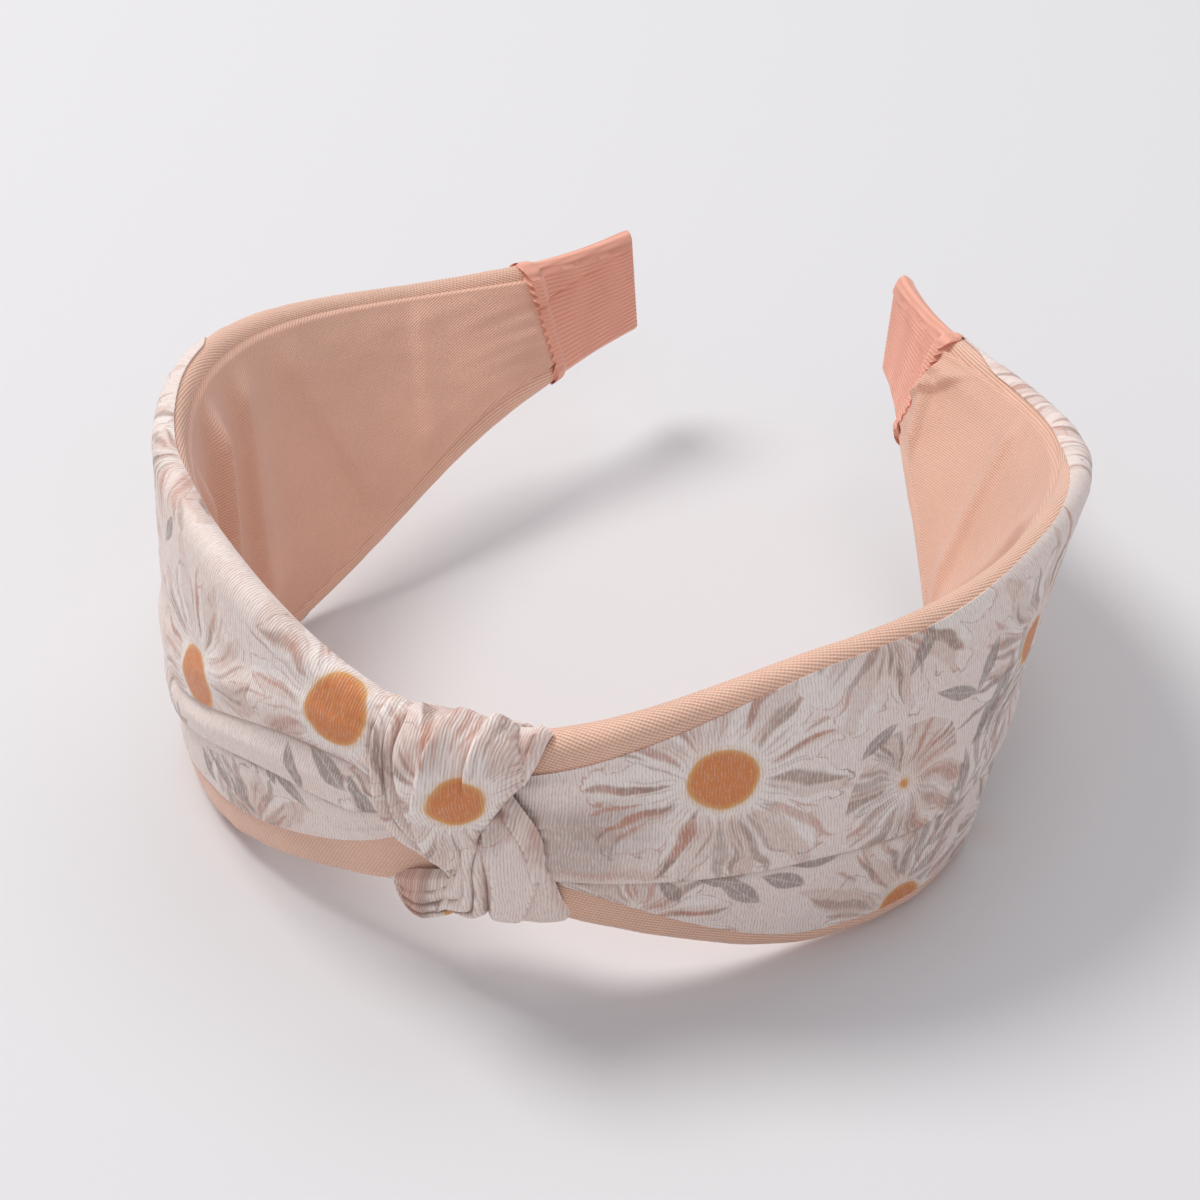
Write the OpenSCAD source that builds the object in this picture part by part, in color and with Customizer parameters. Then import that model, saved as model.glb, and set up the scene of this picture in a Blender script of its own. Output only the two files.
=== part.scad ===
// Knotted fabric headband, lying on its lower edge with the knot at the front (-Y) and the
// open ends at the back (+Y). A springy strip carries foam, a twill cover and a twill lining.
// A printed chiffon scarf lies over the cover and is knotted at the front.
// "Along" always means the distance along the hoop from the knot, in millimetres.

/* [Hoop] */
// Radius of the front of the hoop, behind the knot
crown_radius = 63; // [58:1:70]
// Angle that the front arc turns on each side of the knot
crown_angle = 54; // [48:1:58]
// Radius of the tighter shoulders
shoulder_radius = 48; // [44:1:56]
// Angle that each shoulder turns
shoulder_angle = 43; // [38:1:48]
// Radius of the long arms behind the shoulders
arm_radius = 130; // [110:5:180]
// Angle that each arm turns
arm_angle = 27; // [22:1:30]
// Radius of the outward curve at the open ends
flare_radius = 250; // [150:10:400]
// Angle that each open end turns back outwards
flare_angle = 7; // [4:1:10]

/* [Width] */
// Width of the band under the knot
crown_width = 29; // [26:1:34]
// Width of the band at its widest, which is the height that it stands
full_width = 50; // [44:1:56]
// Width of the band at its open ends
tip_width = 18.5; // [16:0.5:22]
// Distance along at which the band reaches its full width
full_from = 50; // [44:1:56]
// Distance along at which the band starts to narrow
full_to = 88; // [80:1:95]
// Distance along at which the band has narrowed to its end width
narrow_to = 178; // [165:1:185]
// Share by which the band's lower half is narrower than its upper half at the knot
low_trim = 0.1; // [0:0.01:0.15]
// Distance along at which the lower half starts to catch up
trim_from = 20; // [10:1:30]
// Distance along at which the two halves are as wide as each other
trim_to = 66; // [55:1:75]

/* [Lean] */
// Largest angle that the arms lean, with the upper edge further out
lean_peak = 42; // [0:1:45]
// Distance along at which the lean starts
lean_from = 56; // [50:1:70]
// Distance along at which the lean would reach its largest angle
lean_full = 160; // [140:1:175]
// Distance along at which the arms start to turn upright again
lean_fade = 148; // [140:1:160]
// Lean left at the open ends
tip_lean = 5; // [0:1:12]

/* [Layers] */
// Thickness of the springy strip
core_thick = 1.2; // [1:0.1:1.6]
// Thickness of the lining with its glue
lining_thick = 0.9; // [0.6:0.1:1.2]
// Thickness of the twill cover
cover_thick = 0.7; // [0.5:0.1:1]
// Outer face of the cover from the middle of the strip, at the knot
crown_face = 3.6; // [3:0.1:4.5]
// Outer face of the cover from the middle of the strip, on the shoulders
side_face = 2.6; // [2.2:0.1:3.2]
// Outer face of the cover from the middle of the strip, at the end wraps
end_face = 1.7; // [1.6:0.1:2]
// Extra height of the padded face along its middle
puff = 1; // [0.4:0.1:1.5]
// Distance along at which the padding starts to thin towards the ends
slim_from = 120; // [100:5:130]
// Margin from the band's edges to the strip and the foam, over most of the band
core_margin = 3.2; // [3:0.1:4]
// Margin from the band's edges to the strip at the open ends
tip_margin = 1.4; // [1.2:0.1:2]
// Distance from the foam's end to the end wrap
foam_setback = 12; // [8:1:20]
// Width of the hem that the cover turns in on the inner side
hem = 4; // [3:0.5:5]
// Height of the rounded roll along each edge
edge_roll = 2.4; // [2:0.1:3]

/* [Scarf] */
// Thickness of the gathered chiffon
overlay_thick = 0.8; // [0.5:0.1:1.2]
// Distance along at which the gathered halves start to spread
spread_from = 17; // [16:1:24]
// Cover left showing below the left half, at the knot
left_low_gap = 6; // [3:0.5:8]
// Distance along at which the left half reaches the lower edge
left_low_to = 58; // [40:1:80]
// Cover left showing below the right half, at the knot
right_low_gap = 3; // [1:0.5:6]
// Distance along at which the right half reaches the lower edge
right_low_to = 44; // [40:1:80]
// Cover left showing above the right half, at the knot
right_high_gap = 3; // [1:0.5:6]
// Distance along at which the right half reaches the upper edge
right_high_to = 50; // [40:1:80]

/* [End wraps] */
// Length of band that each ribbed end wrap covers
wrap_length = 21.5; // [18:0.5:26]
// Thickness of the wrap's ribbon
wrap_thick = 0.8; // [0.6:0.1:1.2]

/* [Knot] */
// Distance along from the middle of the knot to where each arm starts to flex
knot_half = 15; // [14:0.5:18]
// How far the knot stands out in front of the strip
knot_reach = 13; // [11:0.5:16]
// Half the width of the knot's broad turn
wrap_across = 9.5; // [8:0.5:10]
// Half the width of the broad turn where it is pinched
pinch_across = 4.2; // [3.8:0.1:5]
// How far the broad turn slants to the left at the front
wrap_shift = 4; // [3:0.5:4.5]
// Thickness of the knot's cloth over the edges and behind the band
wrap_thin = 2; // [1.6:0.1:2.5]
// Thickness of the thread of each tacking stitch
stitch_thick = 0.7; // [0.5:0.1:1]

/* [Hidden] */

RIGHT = 1;
LEFT = -1;
fit_gap = 0.15;     // between one layer and the next
body_gap = 0.1;     // from the flexing line to the cut on each side of it
knot_gap = 0.75;    // between the band and the cloth of the knot
step = 4.6;         // distance between one section and the next

// Lengths and headings at the ends of the four arcs on each side
crown_end = crown_radius * crown_angle * PI / 180;
shoulder_end = crown_end + shoulder_radius * shoulder_angle * PI / 180;
arm_end = shoulder_end + arm_radius * arm_angle * PI / 180;
half_length = arm_end + flare_radius * flare_angle * PI / 180;
shoulder_heading = crown_angle + shoulder_angle;
arm_heading = shoulder_heading + arm_angle;

wrap_from = half_length - wrap_length;
foam_to = wrap_from - foam_setback;
core_to = half_length - wrap_thick - fit_gap * 2;
inner_face = core_thick / 2 + fit_gap + lining_thick;

function clamp(value, low, high) = min(max(value, low), high);
function ease(value, low, high) =
    let (t = clamp((value - low) / (high - low), 0, 1))
    t * t * (3 - 2 * t);
function mix(a, b, share) = a + (b - a) * share;

// The plan of the hoop: four arcs, each starting where and as the last one ends
function arc_step(heading, radius, turn) =
    radius * [sin(heading + turn) - sin(heading), cos(heading) - cos(heading + turn)];
function turned(along, from, to, radius) =
    (clamp(along, from, to) - from) / radius * 180 / PI;
function plan_point(along) =
    arc_step(0, crown_radius, turned(along, 0, crown_end, crown_radius))
    + arc_step(crown_angle, shoulder_radius,
        turned(along, crown_end, shoulder_end, shoulder_radius))
    + arc_step(shoulder_heading, arm_radius,
        turned(along, shoulder_end, arm_end, arm_radius))
    + arc_step(arm_heading, -flare_radius,
        turned(along, arm_end, half_length, -flare_radius));
function heading(along) =
    turned(along, 0, crown_end, crown_radius)
    + turned(along, crown_end, shoulder_end, shoulder_radius)
    + turned(along, shoulder_end, arm_end, arm_radius)
    + turned(along, arm_end, half_length, -flare_radius);

// How the band's width, lean and padding change along the hoop
function lean(along) =
    lean_peak * ease(along, lean_from, lean_full)
    * mix(1, tip_lean / lean_peak, ease(along, lean_fade, half_length));
function half_width(along) =
    along < full_to
    ? mix(crown_width, full_width, ease(along, 0, full_from)) / 2 / cos(lean(along))
    : mix(full_width / cos(lean(full_to)), tip_width, ease(along, full_to, narrow_to)) / 2;
function face(along) =
    mix(mix(crown_face, side_face, ease(along, 0, full_from)), end_face,
        ease(along, slim_from, wrap_from));
function face_at(along, height) =
    face(along)
    + puff * ease(along, 0, full_from) * (1 - ease(along, slim_from, wrap_from))
    * (1 - pow(height / half_width(along), 2));
function core_half(along) =
    half_width(along) - mix(core_margin, tip_margin, ease(along, slim_from, wrap_from));

// A point at a depth outwards from the strip and a height up the band, before it is stood up
function band_point(along, depth, height) =
    let (
        at = abs(along),
        side = along < 0 ? LEFT : RIGHT,
        tilt = lean(at),
        trim = low_trim * (1 - ease(at, trim_from, trim_to)),
        climb = height * (height < 0 ? 1 - trim : 1),
        out = depth * cos(tilt) + climb * sin(tilt),
        up = climb * cos(tilt) - depth * sin(tilt),
        plan = plan_point(at) + out * [sin(heading(at)), -cos(heading(at))]
    )
    [side * plan.x, plan.y, up];

// Standing the band on its lowest edge, with the origin under the middle of its outline
lift = max([for (along = [0 : 2 : wrap_from]) for (section = cover_outline(along, 0))
    -band_point(along, section.x, section.y).z]);
back_edge = max([for (height = [-1, 1]) for (depth = [-1, 1])
    band_point(half_length, depth * end_face, height * tip_width / 2).y]);
middle = (back_edge - knot_reach) / 2;

// The same places for every layer, so that neighbouring faces turn together
function stations(from, to) =
    concat([from], [for (k = [floor(from / step) + 1 : ceil(to / step) - 1]) k * step], [to]);
function ring(along, section) =
    [for (p = section) band_point(along, p.x, p.y)];

// Sections of the layers, as depth and height pairs. Every face has points at the same heights.
function heights(along) =
    let (half = half_width(along) - hem + fit_gap)
    [for (share = [-3 : 3]) share / 3 * half];
function slab(along, half, inner, outer) =
    let (inside = [for (height = heights(along)) if (abs(height) < half - fit_gap) height])
    concat(
        [for (height = concat([-half], inside, [half])) [outer, height]],
        [for (height = concat([half], -inside, [-half])) [inner, height]]
    );
function cover_outline(along, inset) =
    let (
        half = half_width(along),
        back = inner_face - inset,
        front = face(along) - inset,
        centre = (front - back) / 2,
        reach = (front + back) / 2,
        roll = edge_roll - inset,
        corner = half - edge_roll,
        turns = [-180 : 36 : 0]
    )
    concat(
        [[-back, -half + hem]],
        [for (turn = turns) [centre + reach * cos(turn), -corner + roll * sin(turn)]],
        [for (height = heights(along)) [face_at(along, height) - inset, height]],
        [for (turn = turns) [centre - reach * cos(turn), corner - roll * sin(turn)]],
        [[-back, half - hem]]
    );
function cover_section(along) =
    let (inside = cover_outline(along, cover_thick))
    concat(cover_outline(along, 0), [for (i = [len(inside) - 1 : -1 : 0]) inside[i]]);
function foam_section(along) =
    let (
        half = core_half(along),
        under = cover_thick + fit_gap,
        rise = concat([-half], heights(along), [half])
    )
    concat(
        [for (height = rise) [face_at(along, height) - under, height]],
        [for (height = -rise) [core_thick / 2 + fit_gap, height]]
    );
// The scarf covers the band's outer face. Its edges run in towards the knot by different amounts.
function run_in(along, gap, to) = gap * (1 - ease(along, spread_from, to));
function scarf_low(side, along) =
    -half_width(along) + edge_roll
    + (side == LEFT
        ? run_in(along, left_low_gap, left_low_to)
        : run_in(along, right_low_gap, right_low_to));
function scarf_high(side, along) =
    half_width(along) - edge_roll
    - (side == LEFT ? 0 : run_in(along, right_high_gap, right_high_to));
function scarf_section(side, along) =
    let (
        low = scarf_low(side, along),
        high = scarf_high(side, along),
        rise = [for (share = [0 : 6]) mix(low, high, share / 6)],
        fall = [for (share = [6 : -1 : 0]) mix(low, high, share / 6)],
        lap = 2 * fit_gap
    )
    concat(
        [for (height = rise) [face_at(along, height) + lap + overlay_thick, height]],
        [for (height = fall) [face_at(along, height) + lap, height]]
    );

// A closed solid through rings of points, with flat ends, or closed on itself. The two halves of
// each ring face one another, so that an end is filled with rungs between them.
module loft(rings, closed = false) {
    count = len(rings[0]);
    total = len(rings);
    far = (total - 1) * count;
    sides = [
        for (i = [0 : total - (closed ? 1 : 2)])
        for (j = [0 : count - 1])
        let (
            a = i * count + j,
            b = i * count + (j + 1) % count,
            c = (i + 1) % total * count + (j + 1) % count,
            d = (i + 1) % total * count + j
        )
        each [[a, b, c], [a, c, d]]
    ];
    rungs = [
        for (j = [0 : count / 2 - 2])
        each [[j, j + 1, count - 2 - j], [j, count - 2 - j, count - 1 - j]]
    ];
    near_end = [for (rung = rungs) [rung[2], rung[1], rung[0]]];
    far_end = [for (rung = rungs) [for (j = rung) j + far]];
    polyhedron(
        points = [for (r = rings) each r],
        faces = closed ? sides : concat(near_end, sides, far_end)
    );
}

// Moves a shape from the plan's start to its standing place
module stand() {
    translate([0, -middle, lift]) children();
}

module on_side(side) {
    if (side == LEFT) {
        mirror([1, 0, 0]) children();
    } else {
        children();
    }
}

// The springy strip
module core(from, to) {
    color("WhiteSmoke") stand()
    loft([for (s = stations(from, to))
        ring(s, slab(abs(s), core_half(abs(s)), -core_thick / 2, core_thick / 2))]);
}
module core_crown() { core(-knot_half + body_gap, knot_half - body_gap); }
module core_right() { core(knot_half + body_gap, core_to); }
module core_left() { on_side(LEFT) core_right(); }

// The foam sheet on the outer side of the strip
module foam(from, to) {
    color("Ivory") stand()
    loft([for (s = stations(from, to)) ring(s, foam_section(abs(s)))]);
}
module foam_crown() { foam(-knot_half + body_gap, knot_half - body_gap); }
module foam_right() { foam(knot_half + body_gap, foam_to); }
module foam_left() { on_side(LEFT) foam_right(); }

// The twill cover, rolled round both edges and turned in on the inner side
module cover(from, to) {
    color([0.87, 0.68, 0.57]) stand()
    loft([for (s = stations(from, to)) ring(s, cover_section(abs(s)))]);
}
module cover_crown() { cover(-knot_half + body_gap, knot_half - body_gap); }
module cover_right() { cover(knot_half + body_gap, wrap_from - fit_gap); }
module cover_left() { on_side(LEFT) cover_right(); }

// The twill lining between the cover's hems
module lining(from, to) {
    color([0.84, 0.66, 0.56]) stand()
    loft([for (s = stations(from, to))
        ring(s, slab(abs(s), half_width(abs(s)) - hem - fit_gap,
            -inner_face, -inner_face + lining_thick))]);
}
module lining_crown() { lining(-knot_half + body_gap, knot_half - body_gap); }
module lining_right() { lining(knot_half + body_gap, wrap_from - fit_gap); }
module lining_left() { on_side(LEFT) lining_right(); }

// The halves of the chiffon scarf
module scarf(side) {
    color([0.93, 0.9, 0.87]) stand() on_side(side)
    loft([for (s = stations(knot_half + body_gap, wrap_from - fit_gap))
        ring(s, scarf_section(side, s))]);
}
module scarf_left() { scarf(LEFT); }
module scarf_right() { scarf(RIGHT); }

// The ribbed ribbon wrapped over one end of the strip, a sleeve with a closed tip
module end_wrap_right() {
    inside = core_thick / 2 + fit_gap;
    outside = inside + wrap_thick;
    sleeve = stations(wrap_from, half_length - wrap_thick - fit_gap);
    function hole(s) = slab(s, core_half(s) + fit_gap, -inside, inside);
    function skin(s) = slab(s, half_width(s), -outside, outside);
    color([0.87, 0.55, 0.47]) stand()
    loft(concat(
        [for (i = [len(sleeve) - 1 : -1 : 0]) ring(sleeve[i], hole(sleeve[i]))],
        [for (s = stations(wrap_from, half_length)) ring(s, skin(s))]
    ));
}
module end_wrap_left() { on_side(LEFT) end_wrap_right(); }

// Cloth that passes round the band under the knot. A turn of 0 is out at the front, 90 is over
// the upper edge and 180 is behind, inside the hoop. The path is a rounded box round the band.
knot_front = crown_face + puff + knot_gap;
knot_rear = inner_face + pow(wrap_across, 2) / crown_radius / 2 + knot_gap;
function boxed(value) = sign(value) * sqrt(abs(value));
function knot_ring(turn, sideways, across, thick) =
    let (
        reach = (cos(turn) < 0 ? knot_rear : knot_front) + thick / 2,
        rise = half_width(abs(sideways)) + knot_gap + thick / 2,
        deep = reach * boxed(cos(turn)),
        high = rise * boxed(sin(turn)),
        normal = [
            sign(cos(turn)) * pow(abs(cos(turn)), 1.5) / reach,
            sign(sin(turn)) * pow(abs(sin(turn)), 1.5) / rise
        ],
        out = normal / norm(normal)
    )
    [for (around = [0 : 30 : 330])
        let (off = thick / 2 * sin(around))
        [sideways + across * cos(around), -(deep + off * out.x), high + off * out.y]];
// Cloth is thick where it bulges at the front, and thin over the edges and behind
function knot_thick(turn, bulge) = mix(wrap_thin, bulge, pow(max(0, cos(turn)), 0.8));

// The broad turn of the knot, pinched narrow low down at the front
module knot_wrap() {
    function underneath(turn) = ease(turn, -170, -100);
    function pinch(turn) = (1 - ease(turn, -60, 50)) * underneath(turn);
    function shift(turn) = wrap_shift * (1 - ease(turn, -10, 70)) * underneath(turn);
    function broad_ring(turn) = knot_ring(turn, -shift(turn),
        mix(wrap_across, pinch_across, pinch(turn)), knot_thick(turn, knot_reach - knot_front));
    color([0.92, 0.89, 0.86]) stand()
    loft([for (i = [35 : -1 : 0]) broad_ring(i * 10 - 175)], closed = true);
}

// A lobe of the knot that comes out beside the pinch and passes under the lower edge
module knot_lobe(from, to, centre_from, centre_to, across, bulge) {
    function swell(turn) = sqrt(max(0.04, 1 - pow((2 * turn - from - to) / (from - to), 4)));
    color([0.92, 0.89, 0.86]) stand()
    loft([for (turn = [from : -8 : to])
        knot_ring(turn, mix(centre_from, centre_to, ease(-turn, -from, 60 - from)),
            across * swell(turn), knot_thick(turn, bulge) * swell(turn))]);
}
module knot_lobe_left() {
    knot_lobe(from = -22, to = -104, centre_from = -11.4, centre_to = -11.2,
        across = 2.8, bulge = 5);
}
module knot_lobe_right() {
    knot_lobe(from = 24, to = -114, centre_from = 9.9, centre_to = 7,
        across = 5.2, bulge = 6.8);
}

// Short stitches that tack the knot's turn to itself behind the band
module tack_stitches() {
    count = 5;
    spacing = 4;
    depth = knot_rear + wrap_thin + stitch_thick / 2 + fit_gap;
    color([0.95, 0.93, 0.9]) stand()
    for (i = [0 : count - 1]) {
        translate([-2, depth, (i - (count - 1) / 2) * spacing])
        rotate([0, 70, 0])
        cylinder(h = 3, d = stitch_thick, center = true, $fn = 24);
    }
}

core_crown();
core_left();
core_right();
foam_crown();
foam_left();
foam_right();
cover_crown();
cover_left();
cover_right();
lining_crown();
lining_left();
lining_right();
scarf_left();
scarf_right();
end_wrap_left();
end_wrap_right();
knot_wrap();
knot_lobe_left();
knot_lobe_right();
tack_stitches();
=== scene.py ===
"""Knotted fabric headband. Detailed cloth pieces stand in for the CAD model's plain soft solids.

Shapes are worked out in millimetres in "band coordinates": the distance along the hoop from the
knot, a depth outwards from the strip and a height up the band. place() turns them into metres.
"""
import math
from functools import partialmethod

import bpy
import numpy as np
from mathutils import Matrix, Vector
from mathutils.bvhtree import BVHTree


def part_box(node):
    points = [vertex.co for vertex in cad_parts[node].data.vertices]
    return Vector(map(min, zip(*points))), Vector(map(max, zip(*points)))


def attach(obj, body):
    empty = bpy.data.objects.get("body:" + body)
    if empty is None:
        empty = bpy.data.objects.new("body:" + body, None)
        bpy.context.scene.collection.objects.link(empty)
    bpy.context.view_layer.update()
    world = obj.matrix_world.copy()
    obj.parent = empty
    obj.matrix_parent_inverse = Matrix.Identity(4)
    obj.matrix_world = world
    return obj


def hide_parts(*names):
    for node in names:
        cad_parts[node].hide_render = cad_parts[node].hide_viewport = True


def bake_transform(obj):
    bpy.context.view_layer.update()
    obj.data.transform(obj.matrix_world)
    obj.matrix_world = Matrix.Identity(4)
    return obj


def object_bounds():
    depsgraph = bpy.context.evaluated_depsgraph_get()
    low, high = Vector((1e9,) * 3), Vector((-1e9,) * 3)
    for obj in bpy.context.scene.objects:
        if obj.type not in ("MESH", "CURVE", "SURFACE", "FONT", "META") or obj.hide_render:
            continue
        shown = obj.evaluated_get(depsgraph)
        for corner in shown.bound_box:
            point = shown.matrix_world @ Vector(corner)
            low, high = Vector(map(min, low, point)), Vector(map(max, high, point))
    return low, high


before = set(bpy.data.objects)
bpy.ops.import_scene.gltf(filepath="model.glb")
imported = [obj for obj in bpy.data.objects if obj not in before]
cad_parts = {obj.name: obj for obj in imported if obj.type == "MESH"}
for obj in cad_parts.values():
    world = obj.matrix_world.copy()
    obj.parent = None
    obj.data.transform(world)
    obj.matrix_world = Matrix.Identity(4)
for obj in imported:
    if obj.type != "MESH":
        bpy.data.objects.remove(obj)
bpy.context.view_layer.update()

MM = 0.001
LEFT, RIGHT = -1, 1
SIDES = {"left": LEFT, "right": RIGHT}

# ---------------------------------------------------------------- the hoop, as the CAD has it
# Widths, depths and distances along the hoop in millimetres, and leans in degrees
ARCS = ((63, 54), (48, 43), (130, 27), (-250, -7))  # radius and angle of each arc of the plan
CROWN_WIDTH, FULL_WIDTH, TIP_WIDTH = 29, 50, 18.5
FULL_FROM, FULL_TO, NARROW_TO = 50, 88, 178
LOW_TRIM, TRIM_FROM, TRIM_TO = 0.1, 20, 66
LEAN_PEAK, LEAN_FROM, LEAN_FULL, LEAN_FADE, TIP_LEAN = 42, 56, 160, 148, 5
CORE, LINING, COVER = 1.2, 0.9, 0.7
CROWN_FACE, SIDE_FACE, END_FACE, PUFF = 3.6, 2.6, 1.7, 1
SLIM_FROM, HEM, EDGE_ROLL, FIT_GAP = 120, 4, 2.4, 0.15
WRAP_LENGTH, WRAP_THICK = 21.5, 0.8
CORE_INSET, CORE_INSET_BACK = 3.2, 1.4  # from the band's edge to the strip's
HALF_LENGTH = sum(abs(radius * math.radians(angle)) for radius, angle in ARCS)
WRAP_FROM = HALF_LENGTH - WRAP_LENGTH
INNER_FACE = CORE / 2 + FIT_GAP + LINING
core_low, core_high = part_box("core_crown")
MIDDLE = -core_low[1] / MM - CORE / 2
LIFT = (core_low[2] + core_high[2]) / 2 / MM


def ease(value, low, high):
    """Runs smoothly from 0 where value is low to 1 where it is high."""
    t = np.clip((value - low) / (high - low), 0, 1)
    return t * t * (3 - 2 * t)


def mix(a, b, share):
    """Between a, where share is 0, and b, where it is 1."""
    return a + (b - a) * share


def bump(value, centre, width):
    """A smooth hill, 1 at centre and nearly 0 two widths away."""
    return np.exp(-(((value - centre) / width) ** 2))


def follow(along):
    """The hoop's centre line in plan, and its heading, at each distance along."""
    x = y = heading = np.zeros_like(along)
    start = 0
    for radius, angle in ARCS:
        length = abs(radius * math.radians(angle))
        turn = np.clip(along - start, 0, length) / radius
        x = x + radius * (np.sin(heading + turn) - np.sin(heading))
        y = y + radius * (np.cos(heading) - np.cos(heading + turn))
        heading = heading + turn
        start += length
    return x, y, heading


def lean(along):
    """How far the band leans outwards at its top, in radians."""
    fade = mix(1, TIP_LEAN / LEAN_PEAK, ease(along, LEAN_FADE, HALF_LENGTH))
    return np.radians(LEAN_PEAK * ease(along, LEAN_FROM, LEAN_FULL) * fade)


def half_width(along):
    """Half the width of the finished band."""
    front = mix(CROWN_WIDTH, FULL_WIDTH, ease(along, 0, FULL_FROM)) / 2 / np.cos(lean(along))
    full = FULL_WIDTH / np.cos(lean(np.float64(FULL_TO)))
    back = mix(full, TIP_WIDTH, ease(along, FULL_TO, NARROW_TO)) / 2
    return np.where(along < FULL_TO, front, back)


def face_at(along, height):
    """Depth of the cover's outer face."""
    flat = mix(mix(CROWN_FACE, SIDE_FACE, ease(along, 0, FULL_FROM)), END_FACE,
               ease(along, SLIM_FROM, WRAP_FROM))
    rise = PUFF * ease(along, 0, FULL_FROM) * (1 - ease(along, SLIM_FROM, WRAP_FROM))
    return flat + rise * (1 - (height / half_width(along)) ** 2)


def core_half(along):
    """Half the width of the strip inside the band."""
    return half_width(along) - mix(CORE_INSET, CORE_INSET_BACK, ease(along, SLIM_FROM, WRAP_FROM))


def place(side, along, depth, height):
    """Points in metres, in the frame, from band coordinates in millimetres."""
    along, depth, height = np.broadcast_arrays(along, depth, height)
    x, y, heading = follow(along.astype(float))
    tilt = lean(along)
    trim = LOW_TRIM * (1 - ease(along, TRIM_FROM, TRIM_TO))
    climb = height * np.where(height < 0, 1 - trim, 1)
    out = depth * np.cos(tilt) + climb * np.sin(tilt)
    up = climb * np.cos(tilt) - depth * np.sin(tilt)
    return MM * np.stack([side * (x + out * np.sin(heading)),
                          y - out * np.cos(heading) - MIDDLE, up + LIFT], -1)


def roll_length(along):
    """Length of cloth round one rolled edge of the cover, from its outer face to its inner."""
    front = face_at(along, half_width(along) - EDGE_ROLL)
    return math.pi * ((front + INNER_FACE) / 2 + EDGE_ROLL) / 2


def round_band(along, reach, off):
    """Depth and height of a point that lies reach round the band's section from the middle of its
    outer face, and off outwards from the cover."""
    corner = half_width(along) - EDGE_ROLL
    front = face_at(along, corner)
    centre, deep = (front - INNER_FACE) / 2, (front + INNER_FACE) / 2
    past = np.abs(reach) - corner
    turn = np.clip(past / roll_length(along), 0, 1) * math.pi
    depth = np.where(past < 0, face_at(along, reach) + off, centre + (deep + off) * np.cos(turn))
    inside = np.maximum(past - roll_length(along), 0)
    height = np.where(past < 0, np.abs(reach), corner + (EDGE_ROLL + off) * np.sin(turn) - inside)
    return depth, np.sign(reach) * height


# ---------------------------------------------------------------- mesh making
def new_piece(name, points, faces, cloth=None, sharp=50):
    """A mesh object from points in metres. cloth holds each point's place on the flat cloth, mm."""
    points, faces = np.asarray(points, np.float32).reshape(-1, 3), np.asarray(faces, np.int32)
    mesh = bpy.data.meshes.new(name)
    mesh.vertices.add(len(points))
    mesh.vertices.foreach_set("co", points.ravel())
    mesh.loops.add(faces.size)
    mesh.loops.foreach_set("vertex_index", faces.ravel())
    mesh.polygons.add(len(faces))
    mesh.polygons.foreach_set("loop_start", np.arange(len(faces), dtype=np.int32) * faces.shape[1])
    mesh.update(calc_edges=True)
    mesh.shade_smooth()
    if sharp:
        mesh.set_sharp_from_angle(angle=math.radians(sharp))
    if cloth is not None:
        cloth = np.asarray(cloth).reshape(len(points), -1)
        flat = np.zeros((len(points), 3), np.float32)
        flat[:, :cloth.shape[1]] = cloth
        layer = mesh.attributes.new("cloth", "FLOAT_VECTOR", "POINT")
        layer.data.foreach_set("vector", flat.ravel())
    piece = bpy.data.objects.new(name, mesh)
    bpy.context.collection.objects.link(piece)
    return piece


def loft_faces(rows, count, closed=False):
    """Faces of a closed solid through rows of points. The two halves of a row face one another, so
    the flat ends are filled with rungs between them."""
    i, j = np.meshgrid(np.arange(rows if closed else rows - 1), np.arange(count), indexing="ij")
    a, b = i * count + j, i * count + (j + 1) % count
    c, d = (i + 1) % rows * count + (j + 1) % count, (i + 1) % rows * count + j
    faces = [np.stack([d, c, b, a], -1).reshape(-1, 4)]
    if not closed:
        k = np.arange(count // 2 - 1)
        rungs = np.stack([k, k + 1, count - 2 - k, count - 1 - k], -1)
        faces += [rungs, rungs[:, ::-1] + (rows - 1) * count]
    return np.concatenate(faces)


def loft(name, rings, cloth, closed=False, side=RIGHT, **more):
    """A closed solid through rings, an array of rows of points. side flips the faces' sense."""
    faces = loft_faces(*rings.shape[:2], closed)
    return new_piece(name, rings, faces[:, ::side], cloth, **more)


def section_normals(depth, height):
    """Unit normals of open curves, row by row, on their left when depth is across and height up."""
    run, rise = np.gradient(depth, axis=1), np.gradient(height, axis=1)
    size = np.hypot(run, rise) + 1e-9
    return rise / size, -run / size


def thin_sheet(name, skins, flat, **more):
    """A closed sheet between two skins, each an array of rows of points. flat is the place of each
    point on the cloth."""
    rings = np.concatenate([skins[0], skins[1][:, ::-1]], 1)
    return loft(name, rings, np.concatenate([flat, flat[:, ::-1]], 1), **more)


def on_cloth(side, along, *more):
    """Places on the flat cloth of a piece, whose left side mirrors its right."""
    return np.stack(np.broadcast_arrays(along * SIDES[side], *more), -1)


def cloth_on_band(name, side, along, depth, height, thick, flat):
    """A thin sheet whose middle follows the curves given row by row, drawn from low to high on the
    outer face."""
    out, up = section_normals(depth, height)
    skins = [place(SIDES[side], along, depth + out * off, height + up * off)
             for off in (thick / 2, -thick / 2)]
    return thin_sheet(name, skins, flat, side=SIDES[side])


def piece_arrays(piece):
    """The points, normals and four-cornered faces of a piece, as arrays."""
    mesh = piece.data
    points, normals = np.empty(len(mesh.vertices) * 3), np.empty(len(mesh.vertices) * 3)
    mesh.vertices.foreach_get("co", points)
    mesh.vertices.foreach_get("normal", normals)
    corners = np.empty(len(mesh.loops), np.int32)
    mesh.loops.foreach_get("vertex_index", corners)
    return points.reshape(-1, 3), normals.reshape(-1, 3), corners.reshape(-1, 4)


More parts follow.
